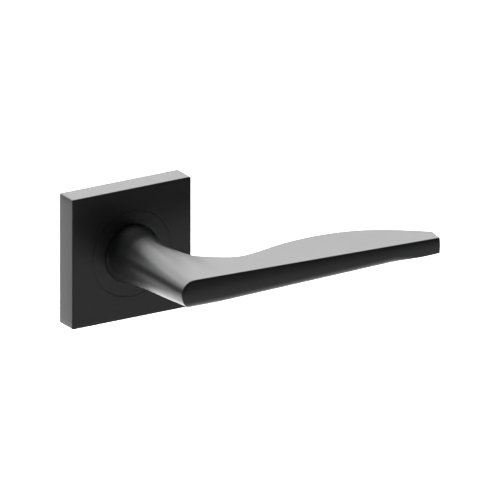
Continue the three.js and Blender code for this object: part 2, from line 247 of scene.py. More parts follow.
# The sweep: its stations fan out round the corner of the middle line and the front edge.
crease_steps, turn_steps, curve_points = 7, 46, 600
crease_d = crease_start + crease * np.sin(np.linspace(0, crease_turn, crease_steps))
line_d = np.concatenate([spaced(sweep_start[1], crease_start, turn_steps), crease_d])
edge_x = np.linspace(-end_apart, waist[0], turn_steps + 1)[1:]
turn_edge = np.stack([edge_x, np.full(turn_steps, front)], axis=-1)
outer_turn = np.concatenate([middle_line(line_d), turn_edge])
sweep = bezier(sweep_start, (sweep_start[0], 34), (22, waist[1]), waist, curve_points)
inner_turn = along_curve(sweep, fractions_of(outer_turn))

# The blade: its stations cross from the front edge to the back edge, closer near the end face.
blade_length = tip_x - waist[0]
close_steps = spaced(0, math.pi / 2, 9)[::-1]
end_steps = 1 - back_rim * (1 - np.cos(close_steps)) / blade_length
blade_steps = np.concatenate([np.linspace(0, 1 - back_rim / blade_length, 150)[1:], end_steps])
back_edge = np.concatenate([
    bezier(waist, (37.5, waist[1]), (46, belly[1]), belly, curve_points)[:-1],
    bezier(belly, (84, belly[1]), (94, 42), shoulder, curve_points)])
front_edge = np.array([[waist[0], front], [tip_x - tip_slant, front]])

outer_ends = np.concatenate([
    middle_line(neck_d), outer_turn, along_curve(front_edge, blade_steps)])
inner_ends = np.concatenate([
    np.stack([neck_right, neck_d], axis=-1), inner_turn, along_curve(back_edge, blade_steps)])
print("stations:", len(outer_ends), len(inner_ends))


# %% [markdown]
# ## Rounding the back edge
#
# On the neck the top falls away to the right as half an ellipse. Round the sweep that fall
# gets shorter and shallower, until along the blade it is only a small rounded rim above a
# straight wall. So each point of the inner border carries two numbers, how far in the rounding
# reaches and how deep it falls, and a point of the top takes them from the nearest place on
# the border.

# %% The top's height everywhere
round_until, depth_power = 0.55, 0.8
turn_share = np.ones(len(inner_ends))
turn_share[:len(neck_d)] = 0
turn_share[len(neck_d):len(neck_d) + len(inner_turn)] = fractions_of(inner_turn)
still_round = 1 - ease(turn_share, 0, round_until)

neck_reach = inner_ends[:, 0] - half_apart(inner_ends[:, 1])
round_reach = back_rim + (np.minimum(neck_reach, neck_radius) - back_rim) * still_round
border_top = top_height(inner_ends[:, 0], inner_ends[:, 1])
round_depth = back_rim + (border_top - back_rim) * still_round ** depth_power


def nearest_on_border(points):
    """Distance to the inner border, and the rounding's reach and depth at the nearest place."""
    start, step = inner_ends[:-1], np.diff(inner_ends, axis=0)
    to_point = points[:, None, :] - start[None]
    share = np.clip((to_point * step).sum(-1) / (step ** 2).sum(-1), 0, 1)
    distance = np.linalg.norm(to_point - share[..., None] * step, axis=-1)
    best = distance.argmin(axis=1)
    row = np.arange(len(points))
    station = best + share[row, best]
    index = np.arange(len(inner_ends))
    reach = np.interp(station, index, round_reach)
    depth = np.interp(station, index, round_depth)
    return distance[row, best], reach, depth


def station_rows():
    """Points along every station: by angle over the rounding, evenly over the flat, and close
    together over the small crease rounding at the front. A station that crosses the crease at a
    slant needs a longer stretch for it, and a short station shares its length out."""
    way = outer_ends - inner_ends
    length = np.linalg.norm(way, axis=1)
    least_lean, crease_share, rounding_share = 0.3, 0.2, 0.8
    lean = np.maximum(np.abs(way[:, 1]) / length, least_lean)
    lean = np.where(outer_ends[:, 1] > front - 1e-6, lean, 1)
    crease_length = np.minimum(crease * math.sin(crease_turn) / lean, length * crease_share)
    reach = np.minimum(round_reach, length * rounding_share - crease_length / 2)
    over_rounding = reach[:, None] * (1 - np.cos(np.linspace(0, math.pi / 2, 15)))
    flat_length = (length - crease_length - reach)[:, None]
    over_flat = reach[:, None] + flat_length * np.linspace(0, 1, 26)[1:]
    crease_turns = np.sin(np.linspace(0, crease_turn, crease_steps)[1:]) / math.sin(crease_turn)
    over_crease = (length - crease_length)[:, None] + crease_length[:, None] * crease_turns
    distance = np.concatenate([over_rounding, over_flat, over_crease], axis=1)
    return inner_ends[:, None, :] + distance[..., None] * (way / length[:, None])[:, None, :]


plan = station_rows()
away, reach, depth = nearest_on_border(plan.reshape(-1, 2))
inside = np.clip(1 - away / reach, 0, 1)
fall = depth * (1 - np.sqrt(1 - inside ** 2))
plan_x, plan_d = plan[..., 0], plan[..., 1]
top = np.maximum(top_height(plan_x, plan_d) - fall.reshape(plan_x.shape), 0)
print("top grid:", top.shape, "up to", round(float(top.max()), 2), "mm high")


# %% [markdown]
# ## Closing the casting
#
# The top is mirrored to make the underside, which is then made a little deeper. The left end, the
# back wall, the front face and the foot close the shape, and every one of them takes its border
# from the grids that are already there, so the seams weld without a gap. The front face is a
# little full: it bulges by about a tenth of its half height. Its top edge is sharp, but its lower
# edge rolls under, so a thumb slides off softly and the face grows paler towards the bottom.

# %% The casting's other grids
deeper_left, deeper_right = 1.05, 1.45
deeper_across, deeper_along = (-3, 12), (18, 48)
roll, sharp_edge = 3.0, 0.4
roll_ends, roll_blend, roll_full = (84, 100), 14, 0.5


def below(x, d, z):
    """Points of the drawing in the scene. Under the middle plane the casting gets deeper towards
    the front, and its front edge rolls under: the points in the lowest few millimetres move
    back along a quarter circle, and the move fades out over the underside behind them."""
    x, d, z = np.broadcast_arrays(x, d, z)
    height = top_height(x, d) + crease_inset(d)
    extra = deeper_left + (deeper_right - deeper_left) * ease(x, *deeper_across)
    extra = extra * ease(d, *deeper_along)
    low = z * (1 + extra / height)
    radius = sharp_edge + (roll - sharp_edge) * (1 - ease(x, *roll_ends))
    into = np.clip((radius - low - height - extra) / radius, 0, 1)
    back = radius * (1 - np.sqrt(1 - into ** 2))
    back = back * ease(d, front - roll_blend, front - roll_full)
    return place(x, np.where(z < 0, d - back, d), np.where(z < 0, low, z))


def mirrored(x, d, z):
    """The grid and the same grid below the middle plane."""
    return [(place(x, d, z), False, False), (below(x, d, -z), False, False)]


end_d = np.concatenate([neck_d, line_d])[:, None]
end_angle = np.linspace(math.pi / 2, math.pi, 27)[None, :]
end_reach = neck_left(end_d) - half_apart(end_d) - crease_inset(end_d)
end_x = -half_apart(end_d) + end_reach * np.cos(end_angle)
end_z = (neck_height(end_d) - crease_inset(end_d)) * np.sin(end_angle)


def strip(x, d, z, bulge=0.0, count=25):
    """A wall between a border and its mirror image: straight down, or bulging outward by a share
    of the half height. The share may differ from place to place along the border."""
    across = np.linspace(1, -1, count)[None, :]
    full = (np.broadcast_to(bulge, z.shape) * z)[:, None]
    grid = below(x[:, None], d[:, None] + full * (1 - across ** 2), z[:, None] * across)
    return grid, False, False


first_on_edge = len(neck_d) + len(line_d) - 1
face_x = np.concatenate([end_x[-1, ::-1], outer_ends[first_on_edge + 1:, 0]])
face_z = np.concatenate([end_z[-1, ::-1], top[first_on_edge + 1:, -1]])
wall = np.concatenate([inner_ends, plan[-1, 1:]])
wall_z = np.concatenate([top[:, 0], top[-1, 1:]])
foot_x = np.concatenate([end_x[0, ::-1], plan_x[0, ::-1][1:]])
foot_z = np.concatenate([end_z[0, ::-1], top[0, ::-1][1:]])
fullness = math.tan(math.pi / 2 - crease_turn) / 2
wall_fullness = np.zeros(len(wall))
wall_fullness[-1] = fullness

casting = build_mesh("lever_casting", [
    *mirrored(plan_x, plan_d, top),
    *mirrored(end_x, end_d, end_z),
    strip(face_x, np.full(len(face_x), front), face_z, fullness, count=49),
    strip(wall[:, 0], wall[:, 1], wall_z, wall_fullness),
    strip(foot_x, np.full(len(foot_x), neck_foot), foot_z, count=3),
])

# %% [markdown]
# ## The tail and the holes
#
# Behind the neck the casting goes on as a turned tail, which runs in the rose's sleeve. It has
# two flats for the driver and a groove for the circlip. The square hole for the spindle and the
# hole for the grub screw are bored last, as they would be in a jig, with Boolean modifiers: a
# bored edge is exact, and drawing those edges into the grids would only make them harder.

# %% Tail, bores and the finished lever
def loop_angles(count):
    """Angles of a full turn, for grids whose columns wrap."""
    return np.arange(count) * 2 * math.pi / count


def turned(profile, count=96, flat=1e9):
    """A profile of (radius, d) corners turned about the spindle's axis. A flat cuts the section
    off to the left and right at that distance from the axis."""
    radius, d = np.array(profile, float).T
    angle = loop_angles(count)[None, :]
    x = np.clip(radius[:, None] * np.cos(angle), -flat, flat)
    return place(x, d[:, None], radius[:, None] * np.sin(angle)), False, True


def square_bar(half, d0, d1):
    """A square bar along the spindle's axis: four corners carried along it, closed at the ends."""
    size = np.array([0, half, half, 0])[:, None]
    x, z = size * np.array([1, -1, -1, 1]), size * np.array([1, 1, -1, -1])
    return place(x, np.array([d0, d0, d1, d1])[:, None], z), False, True


def hidden_tool(name, grids):
    """A closed mesh used only to cut or join, taken away once it has done so."""
    tool = bpy.data.objects.new(name, build_mesh(name, grids))
    bpy.context.scene.collection.objects.link(tool)
    return tool


def cut_and_join(mesh, steps):
    """The mesh after a list of Boolean steps, each an operation and a tool."""
    work = bpy.data.objects.new("work", mesh)
    bpy.context.scene.collection.objects.link(work)
    for operation, tool in steps:
        modifier = work.modifiers.new(operation, "BOOLEAN")
        modifier.operation = operation
        modifier.object = tool
        modifier.solver = "EXACT"
    evaluated = work.evaluated_get(bpy.context.evaluated_depsgraph_get())
    result = bpy.data.meshes.new_from_object(evaluated)
    bpy.data.objects.remove(work)
    for _, tool in steps:
        bpy.data.objects.remove(tool)
    result.set_sharp_from_angle(angle=math.radians(35))
    print("after cutting:", len(result.polygons), "faces")
    return result


tail_radius, tail_flat, tail_end, tail_bevel = 8.0, 6.8, -2.2, 0.4
tail_front, journal_back = 3.4, 3.1  # the flats end at the first, and the two overlap
groove_radius, groove_back, groove_front = 6.8, -1.3, 0.1
tail = hidden_tool("tail", [turned([
    (0, tail_end), (tail_radius - tail_bevel, tail_end), (tail_radius, tail_end + tail_bevel),
    (tail_radius, groove_back), (groove_radius, groove_back), (groove_radius, groove_front),
    (tail_radius, groove_front), (tail_radius, tail_front), (0, tail_front)], flat=tail_flat)])
journal = hidden_tool("journal", [turned([
    (0, journal_back), (tail_radius, journal_back), (tail_radius, rose_face + 0.1),
    (0, rose_face + 0.1)])])
bore_half, bore_front = 4.3, 35
square_bore = hidden_tool("square_bore", [square_bar(bore_half, tail_end - 1, bore_front)])
grub_d, grub_hole, grub_top, below_neck = 24.0, 2.8, -4.2, -14
hole_turn = loop_angles(48)[None, :]
hole_reach = np.array([0, grub_hole, grub_hole, 0])[:, None]
hole_level = np.array([below_neck, below_neck, grub_top, grub_top])[:, None]
hole = place(
    hole_reach * np.cos(hole_turn), grub_d + hole_reach * np.sin(hole_turn), hole_level)
grub_bore = hidden_tool("grub_bore", [(hole, False, True)])

casting = cut_and_join(casting, [
    ("UNION", tail), ("UNION", journal), ("DIFFERENCE", square_bore), ("DIFFERENCE", grub_bore)])
lever = new_piece("lever_handle", casting, "lever", "lever")

# %% [markdown]
# ## The rose and its collar ring
#
# The cover is pressed or cast with crisp but not sharp edges, a fine round of about a third of a
# millimetre. One closed row of points runs round it as a square, another as a circle, and both
# have the same number of points at the same angles. So a list of rows, each a square or a
# circle at some depth, describes the outside, the stepped seat and the inside in one go.

# %% Square cover and flush ring
rose_half, rose_wall, rose_corner = 26.0, 1.5, 0.6
seat_outer, seat_inner, seat_level = 17.12, 14.5, 8.6
edge_round, back_bevel, seat_bevel = 0.35, 0.15, 0.06
side_points, corner_points = 24, 8


def square_loop(half, corner=rose_corner):
    """Points round a square with rounded corners: arcs of a fixed count and straight runs. The
    corners keep a tiny radius even where a piece has sharp ones, so that no points coincide."""
    turn = np.linspace(0, math.pi / 2, corner_points)
    corner = max(corner, 0.02)
    one = (half - corner) + 1j * (half - corner) + corner * np.exp(1j * turn)
    run = np.linspace(one[-1], 1j * one[0], side_points)[1:-1]
    quarter = np.concatenate([one, run])
    return np.concatenate([quarter * 1j ** k for k in range(4)])


loop_direction = np.exp(1j * np.angle(square_loop(rose_half)))


def cover_row(half=None, radius=None, share=0.0):
    """A row of the cover: a square, a circle, or a share of the way from the one to the other.
    Smaller squares have smaller corners, so that all corners have the same centre."""
    square = square_loop(half, rose_corner - (rose_half - half)) if half else 0
    circle = radius * loop_direction if radius else 0
    if half and radius:
        return square * (1 - share) + circle * share
    return square if half else circle


def stacked(rows, closed=True):
    """A grid from rows that are each a loop in the plane and its distance from the door. Closed
    rows come back to the first one, and the others end in a point."""
    loops = np.array([loop for loop, _ in rows])
    levels = np.array([level for _, level in rows])[:, None]
    return place(loops.real, levels, loops.imag), closed, True


face_half, inner_half = rose_half - edge_round, rose_half - rose_wall
seat_edge, ceiling = seat_outer + seat_bevel, rose_face - rose_wall
rows = [(cover_row(half=rose_half - back_bevel), 0.0), (cover_row(half=rose_half), back_bevel)]
rows += [
    (cover_row(half=rose_half - edge_round * (1 - math.cos(turn))),
     rose_face - edge_round + edge_round * math.sin(turn))
    for turn in np.linspace(0, math.pi / 2, 7)]
rows += [(cover_row(half=face_half, radius=seat_edge, share=share), rose_face)
         for share in np.linspace(0, 1, 10)[1:]]
rows += [
    (cover_row(radius=seat_outer), rose_face - seat_bevel),
    (cover_row(radius=seat_outer), seat_level),
    (cover_row(radius=seat_inner), seat_level),
    (cover_row(radius=seat_inner), ceiling)]
rows += [(cover_row(half=inner_half, radius=seat_inner, share=share), ceiling)
         for share in np.linspace(1, 0, 6)[1:]]
rows += [(cover_row(half=inner_half), back_bevel), (cover_row(half=inner_half + back_bevel), 0.0)]
cover = new_piece(
    "rose_square", build_mesh("rose_square", [stacked(rows)]),
    "rose", "rose_cover")

ring_profile = [
    (11.62, 8.0), (14.2, 8.0), (14.2, 8.9), (17.04, 8.9), (17.04, 9.42), (16.96, 9.5),
    (11.67, 9.5), (11.62, 9.45), (11.62, 8.0)]
ring = new_piece(
    "flush_ring", build_mesh("flush_ring", [turned(ring_profile, 160)]),
    "rose", "collar_ring")

# %% [markdown]
# ## The steel sheet at the back
#
# A stamped sheet closes the rose at the door. It is a square with a round hole, so rows that go
# from a square to a circle serve again. Its post holes and countersunk screw holes are drilled
# after that, as the real sheet is pierced first and countersunk in the next stroke.

# %% Back sheet with its holes
sheet_half, sheet_corner, sheet_hole = 24.2, 0.5, 11.2
sheet_thickness, broken_edge = 1.0, 0.12
post_x, post_hole = 19.0, 3.8
screw_apart = 20.0
screw_at = [complex(x, z) * screw_apart for x, z in ((1, 1), (-1, 1), (-1, -1), (1, -1))]


def round_tool(name, x, z, d0, d1, first_radius, last_radius, count=48):
    """A hidden cone or bar along the spindle's direction, with its axis at x and z."""
    angle = loop_angles(count)[None, :]
    reach = np.array([0, first_radius, last_radius, 0])[:, None]
    level = np.array([d0, d0, d1, d1])[:, None]
    grid = place(x + reach * np.cos(angle), level, z + reach * np.sin(angle))
    return hidden_tool(name, [(grid, False, True)])


def flat_rows(level, shares):
    """Rows across one face of the sheet, from its square edge to its round hole."""
    square = square_loop(sheet_half - broken_edge, sheet_corner)
    circle = (sheet_hole + broken_edge) * loop_direction
    return [(square * (1 - share) + circle * share, level) for share in shares]


hole_row, edge_row = sheet_hole * loop_direction, square_loop(sheet_half, sheet_corner)
rows = flat_rows(sheet_thickness, np.linspace(0, 1, 8))
rows += [(hole_row, sheet_thickness - broken_edge), (hole_row, broken_edge)]
rows += flat_rows(0.0, np.linspace(1, 0, 8))
rows += [(edge_row, broken_edge), (edge_row, sheet_thickness - broken_edge)]
drills = [round_tool("post_drill", side * post_x, 0, -1, 2, post_hole, post_hole)
          for side in (-1, 1)]
drills += [round_tool("countersink", at.real, at.imag, -0.3, 1.3, 2.8, 1.2) for at in screw_at]
sheet_mesh = cut_and_join(
    build_mesh("back_sheet", [stacked(rows)]), [("DIFFERENCE", drill) for drill in drills])
back_sheet = new_piece("steel_back_sheet", sheet_mesh, "rose", "back_sheet")

# %% [markdown]
# ## Threads
#
# Posts and screws come off a lathe, so they are turned profiles. A thread is a groove that climbs
# one pitch a turn, so its depth at any point is a triangle wave of the height in pitches less the
# turn's share. Adding that wave to the radius gives real ridges. A Screw modifier could also wind
# a thread, but it leaves open ends to be closed by hand.

# %% Threaded posts and cross-head screws
def ridge(climb, turn):
    """A triangle wave from 1 to 0 and back in every pitch, wound once round in each turn."""
    return np.abs(2 * np.mod(climb - turn / (2 * math.pi), 1) - 1)


def threaded(radius, d0, d1, pitch, depth, per_pitch=8):
    """Rows of (radius, d, depth) close enough together to carry a thread from d0 to d1."""
    count = int(abs(d1 - d0) / pitch * per_pitch) + 1
    return [(radius, d, depth) for d in np.linspace(d0, d1, count)]


def lathe_part(name, rows, at, pitch, count=48):
    """A piece turned from rows of (radius, d, depth) about an axis at a place in the plane."""
    radius, d, depth = np.array(rows, float).T[:, :, None]
    angle = loop_angles(count)[None, :]
    reach = radius + depth * ridge(d / pitch, angle)
    grid = place(at.real + reach * np.cos(angle), d, at.imag + reach * np.sin(angle))
    return build_mesh(name, [(grid, False, True)], sharp=25)


# Each post has an M4 thread inside, between a blind end and a countersunk mouth.
post_front, post_back, post_radius = 7.7, -5.0, 3.5
bore_end, bore_radius, bore_pitch, bore_depth = 5.0, 1.65, 0.7, 0.32
post_rows = [(0, bore_end + 0.7, 0), (1.6, bore_end, 0)]
post_rows += threaded(bore_radius, bore_end - 0.3, post_back + 0.5, bore_pitch, bore_depth)
post_rows += [
    (2.15, post_back, 0), (3.15, post_back, 0), (post_radius, post_back + 0.35, 0),
    (post_radius, post_front - 0.3, 0), (3.2, post_front, 0), (0, post_front, 0)]
posts = []
for side, label in ((-1, "left"), (1, "right")):
    mesh = lathe_part(f"post_{label}", post_rows, complex(side * post_x, 0), bore_pitch)
    posts.append(new_piece(
        f"threaded_post_{label}", mesh, "rose", f"fixing_post_{label}"))

# Each screw has a countersunk head, a thread that stands out from its core, and a blunt point.
screw_core, screw_pitch, screw_depth = 1.05, 0.6, 0.2
screw_rows = [(0, 0.02, 0), (1.6, 0.0, 0), (2.14, 0.03, 0), (2.2, 0.1, 0), (1.25, 1.0, 0)]
screw_rows += threaded(screw_core, 1.2, 4.6, screw_pitch, screw_depth)
screw_rows += [(0.7, 5.0, 0), (0, 5.2, 0)]

recess_narrows, recess_bottom = 0.72, 0.62
arm_long, arm_wide = 1.45, 0.33


def recess(at, half_x, half_z):
    """One arm of the cross in a screw's head: a bar that narrows towards the bottom."""
    size = np.array([0, 1, recess_narrows, 0])[:, None]
    x = at.real + half_x * size * np.array([1, -1, -1, 1])
    z = at.imag + half_z * size * np.array([1, 1, -1, -1])
    level = np.array([-0.5, -0.5, recess_bottom, recess_bottom])[:, None]
    return hidden_tool("recess", [(place(x, level, z), False, True)])


screws = []
for number, at in enumerate(screw_at, start=1):
    mesh = lathe_part(f"screw_{number}", screw_rows, at, screw_pitch, count=36)
    arms = [recess(at, arm_long, arm_wide), recess(at, arm_wide, arm_long)]
    mesh = cut_and_join(mesh, [("DIFFERENCE", arm) for arm in arms])
    screws.append(new_piece(
        f"cross_screw_{number}", mesh, "rose", f"sheet_screw_{number}"))

# %% [markdown]
# ## Spindle, sleeve, washer and socket screw
#
# The spindle is drawn square bar with a bevel at each end, so it is a square loop carried
# straight from end to end. The sleeve is a turned nylon bush with broken edges. The washer is a
# flat ring whose height follows three waves a turn. The socket screw stands upright under the
# neck, and its hexagon is a circle whose radius is divided by the cosine of the angle from the
# middle of the nearest flat.

# %% Square spindle, nylon sleeve, wave washer and socket screw
bar_half, bar_end, bar_bevel = 4.0, 34.0, 0.5
bar_loop, bevel_loop = square_loop(bar_half), square_loop(bar_half - bar_bevel)
point = 0 * loop_direction
bar_rows = [
    (point, -bar_end), (bevel_loop, -bar_end), (bar_loop, bar_bevel - bar_end),
    (bar_loop, bar_end - bar_bevel), (bevel_loop, bar_end), (point, bar_end)]
spindle = new_piece(
    "square_spindle", build_mesh("square_spindle", [stacked(bar_rows, closed=False)]),
    "lever", "spindle")

sleeve_profile = [
    (8.5, 3.4), (9.4, 3.4), (9.6, 3.6), (9.6, 8.0), (11.25, 8.0), (11.4, 8.15), (11.4, 8.45),
    (11.25, 8.6), (8.5, 8.6), (8.3, 8.4), (8.3, 3.6), (8.5, 3.4)]
sleeve = new_piece(
    "nylon_sleeve", build_mesh("nylon_sleeve", [turned(sleeve_profile, 128)]),
    "rose", "bearing_sleeve")


def section(low, high, bottom, top, edge):
    """Eight corners round a flat section with broken edges: across it, and along the axis."""
    wide = [low + edge, high - edge, high, high, high - edge, low + edge, low, low]
    tall = [bottom, bottom, bottom + edge, top - edge, top, top, top - edge, bottom + edge]
    return np.array(wide), np.array(tall)


washer_inner, washer_outer, washer_thick = 8.3, 10.2, 0.3
washer_level, wave_height, waves = 0.6, 0.15, 3


def wavy_ring():
    """A thin ring whose level is its mean level plus the wave's height times cos(3 turn)."""
    turn = loop_angles(144)[:, None]
    radius, level = section(washer_inner, washer_outer, 0.0, washer_thick, 0.05)
    level = level + washer_level + wave_height * np.cos(waves * turn)
    return place(radius * np.cos(turn), level, radius * np.sin(turn)), True, True


washer = new_piece(
    "wavy_washer", build_mesh("wavy_washer", [wavy_ring()]),
    "lever", "wave_washer")


def hexagon(across_flats, turn):
    """Distance to a hexagon's side: half its size over the cosine of the angle from a flat."""
    return across_flats / 2 / np.cos(np.mod(turn, math.pi / 3) - math.pi / 6)


grub_radius, grub_pitch, grub_depth, grub_sunk = 2.5, 0.8, 0.3, 0.6
key_size, key_depth, key_bevel = 2.5, 1.9, 0.08


def socket_screw(axis_d, low, high):
    """Loops from the top down the thread, round the rim and up into the hexagon."""
    turn = loop_angles(96)[None, :]
    side = np.linspace(high - 0.5, low + 0.3, 44)[:, None]
    thread = grub_radius - grub_depth * ridge(side / grub_pitch, -turn)
    key = hexagon(key_size, turn)
    flat = 0 * turn
    reach = np.concatenate(
        [flat, flat + 1.9, thread, flat + 2.2, key + key_bevel, key, key, flat])
    socket = [low, low, low + 0.1, low + key_depth, low + key_depth + 0.3]
    level = np.array([high, high, *side[:, 0], *socket])[:, None]
    return place(reach * np.cos(turn), axis_d + reach * np.sin(turn), level), False, True


grub_low = grub_sunk - float(neck_height(grub_d))
grub_mesh = build_mesh(
    "socket_screw", [socket_screw(grub_d, grub_low, grub_top - 0.1)], sharp=25)
grub = new_piece("socket_screw", grub_mesh, "lever", "grub_screw")

# %% [markdown]
# ## Circlip and return spring
#
# Both are a flat section carried along a path in the plane of the door. The circlip's path is
# its own ring, whose outer edge swells into two ears with holes for the pliers. The spring's
# path comes in along one leg, bends into the coil, climbs nearly two turns and leaves along the
# other leg.

# %% Circlip with ears, and coiled spring
def capped(grid):
    """The grid with its first and last loops drawn in to their middles, which closes the ends."""
    ends = [np.broadcast_to(loop.mean(axis=0), loop.shape)[None] for loop in (grid[0], grid[-1])]
    return np.concatenate([ends[0], grid, ends[1]]), False, True


mouth, ear_turn = math.radians(16), math.radians(9)
clip_inner, clip_width, clip_swell, clip_back, clip_front = 7.1, 2.5, 0.6, -1.1, -0.1
ear_height, ear_reach, ear_hole = 3.1, 8.65, 0.7


def open_ring():
    """A ring open at the bottom. Its width is 2.5 + 0.6 sin(turn), the most at the top, and near
    each end half an ellipse raises its edge into an ear. The section is drawn one wide: its
    corners near 0 stay on the inner edge and those near 1 move out to the full width."""
    turn = np.linspace(mouth - math.pi / 2, 1.5 * math.pi - mouth, 181)
    to_end = np.minimum(turn - turn[0], turn[-1] - turn)
    ear = ear_height * np.sqrt(np.clip(1 - (to_end / ear_turn - 0.9) ** 2 / 1.1, 0, 1))
    width = np.maximum(clip_width + clip_swell * np.sin(turn), ear)[:, None]
    across, level = section(0.0, 1.0, clip_back, clip_front, 0.08)
    edge = np.round(across)
    radius = clip_inner + width * edge + (across - edge)
    return place(radius * np.cos(turn[:, None]), level, radius * np.sin(turn[:, None]))


clip_cuts = []
for turn in (mouth + ear_turn - math.pi / 2, 1.5 * math.pi - mouth - ear_turn):
    x, z = ear_reach * math.cos(turn), ear_reach * math.sin(turn)
    clip_cuts.append(("DIFFERENCE", round_tool("ear_drill", x, z, -2, 1, ear_hole, ear_hole, 24)))
clip_mesh = cut_and_join(build_mesh("circlip", [capped(open_ring())]), clip_cuts)
circlip = new_piece("retaining_ring", clip_mesh, "lever", "circlip")

coil_radius, bend_radius, leg_end, leg_turn = 13.0, 1.2, 18.3, math.radians(105)
coil_back, coil_pitch, wire_wide, wire_thick = 2.9, 1.2, 2.0, 0.9


def spring_path():
    """The wire's middle line in the door's plane, and its rise in turns: a straight leg, a bend
    that touches both leg and coil, the coil, and the same two mirrored left to right."""
    along = np.exp(1j * leg_turn)
    bend_at = math.sqrt((coil_radius + bend_radius) ** 2 - bend_radius ** 2)
    centre = along * (bend_at + 1j * bend_radius)
    swing = np.linspace(-math.pi / 2, np.angle(centre / along) - math.pi, 9)
    way_in = np.concatenate([
        along * spaced(leg_end, bend_at, 8), centre + bend_radius * along * np.exp(1j * swing)])
    first = float(np.angle(centre))
    turn = np.linspace(first, 5 * math.pi - first, 241)
    rise = (turn - first) / (2 * math.pi)
    path = np.concatenate([way_in, coil_radius * np.exp(1j * turn[1:-1]), -np.conj(way_in[::-1])])
    return path, np.interp(np.arange(len(path)), np.arange(len(rise)) + len(way_in) - 1, rise)


def flat_wire():
    """The wire's section, wide in the plane and thin along the axis, carried along its path."""
    path, rise = spring_path()
    ahead = np.gradient(path)
    across, level = section(-wire_wide / 2, wire_wide / 2, 0.0, wire_thick, 0.12)
    edge = path[:, None] + (1j * ahead / np.abs(ahead))[:, None] * across
    return place(edge.real, coil_back + coil_pitch * rise[:, None] + level, edge.imag)


spring = new_piece(
    "coiled_return_spring", build_mesh("coiled_return_spring", [capped(flat_wire())]),
    "rose", "return_spring")

# %% [markdown]
# ## Shader maths as plain Python
#
# A wear mask or a grain is a formula. Written with sockets it becomes a tangle of Math nodes, so
# one small class wraps a socket and lets Python's own operators add those nodes.

# %% A socket that can be added and multiplied
class Value:
    """One output socket in a node tree. An operator adds the Math node that works it out."""

    def __init__(self, tree, socket):
        self.tree, self.socket = tree, socket

    def math(self, operation, *others):
        """A Math node over this value and the others, in that order."""
        node = self.tree.nodes.new("ShaderNodeMath")
        node.operation = operation
        for k, term in enumerate([self, *others]):
            if isinstance(term, Value):
                self.tree.links.new(term.socket, node.inputs[k])
            else:
                node.inputs[k].default_value = term
        return Value(self.tree, node.outputs[0])

    def __add__(self, other):
        return self.math("ADD", other)

    def __sub__(self, other):
        return self.math("SUBTRACT", other)

    def __mul__(self, other):
        return self.math("MULTIPLY", other)

    __radd__, __rmul__ = __add__, __mul__

    def clamp(self):
        return self.math("MINIMUM", 1.0).math("MAXIMUM", 0.0)


class Finish:
    """A material under way: `node` adds any node, `finish` ends it on the Principled shader."""

    def __init__(self, name):
        self.material = bpy.data.materials.new(name)
        self.material.use_nodes = True
        self.tree = self.material.node_tree
        self.shader = self.tree.nodes["Principled BSDF"]
        self.where = self.node("ShaderNodeTexCoord").outputs["Object"]

    def node(self, kind, settings=None, **sockets):
        """A node of one kind. Settings come first, then each socket's value or link, by name."""
        node = self.tree.nodes.new(kind)
        for key, value in (settings or {}).items():
            setattr(node, key, value)
        self.feed(node, sockets)
        return node

    def feed(self, node, sockets):
        """Gives each named socket of a node its value or its link."""
        for key, value in sockets.items():
            socket = node.inputs[key.replace("_", " ")]
            if isinstance(value, Value):
                self.tree.links.new(value.socket, socket)
            elif isinstance(value, bpy.types.NodeSocket):
                self.tree.links.new(value, socket)
            else:
                socket.default_value = value

    def noise(self, scale, detail=3.0, roughness=0.55, stretch=(1, 1, 1)):
        """Soft noise from 0 to 1 over the piece, stretched along its axes if wanted."""
        mapped = self.node("ShaderNodeMapping", Vector=self.where, Scale=stretch).outputs[0]
        texture = self.node(
            "ShaderNodeTexNoise", Vector=mapped, Scale=scale, Detail=detail, Roughness=roughness)
        return Value(self.tree, texture.outputs[0])

    def mixed(self, share, first, second):
        """A colour between two colours."""
        mix = self.node("ShaderNodeMix", {"data_type": "RGBA"})
        for index, value in ((0, share), (6, first), (7, second)):
            if isinstance(value, Value):
                self.tree.links.new(value.socket, mix.inputs[index])
            elif isinstance(value, bpy.types.NodeSocket):
                self.tree.links.new(value, mix.inputs[index])
            else:
                mix.inputs[index].default_value = value
        return mix.outputs[2]

    def bump(self, height, depth, strength=0.5):
        """A Bump node for a height from 0 to 1 that stands for this depth in metres."""
        node = self.node("ShaderNodeBump", Height=height, Distance=depth, Strength=strength)
        return node.outputs[0]

    def finish(self, **sockets):
        """Sets the shader's own sockets by name, and gives the material back."""
        self.feed(self.shader, sockets)
        return self.material


def wear(material, *pieces):
    """Puts one material on whole pieces."""
    for piece in pieces:
        piece.data.materials.clear()
        piece.data.materials.append(material)


# %% [markdown]
# ## Satin black
#
# The lever, the cover and the ring share one coating: black powder, baked to a satin film. It
# has a very fine orange-peel grain that only softens reflections, and its black is never pure.
# It gets faint patches of gloss where hands and cloths have passed.

# %% The black coating
def satin_black():
    coat = Finish("satin_black_coating")
    grain = coat.noise(2600.0, detail=2.0)
    patches = coat.noise(38.0, detail=3.0)
    colour = coat.mixed(patches, (0.0105, 0.0108, 0.0115, 1), (0.0165, 0.0168, 0.0175, 1))
    gloss = 0.36 + 0.06 * (patches - 0.5) + 0.05 * (grain - 0.5)
    return coat.finish(
        Base_Color=colour, Roughness=gloss, IOR=1.5,
        Normal=coat.bump(grain, 0.00002, 0.35))


black = satin_black()
wear(black, lever, cover, ring)

# %% [markdown]
# ## Metals and nylon behind the rose
#
# Zinc plating is bright with a faint blue and yellow cloud, over the fine lines left by drawing
# or rolling. The cast plate is duller, with the grain of the die's skin and slow flow marks.
# Spring steel keeps the grey-blue of its tempering, and the screws the black of their oxide
# bath. Nylon is a soft off-white. Each finish is the same few nodes with other numbers.

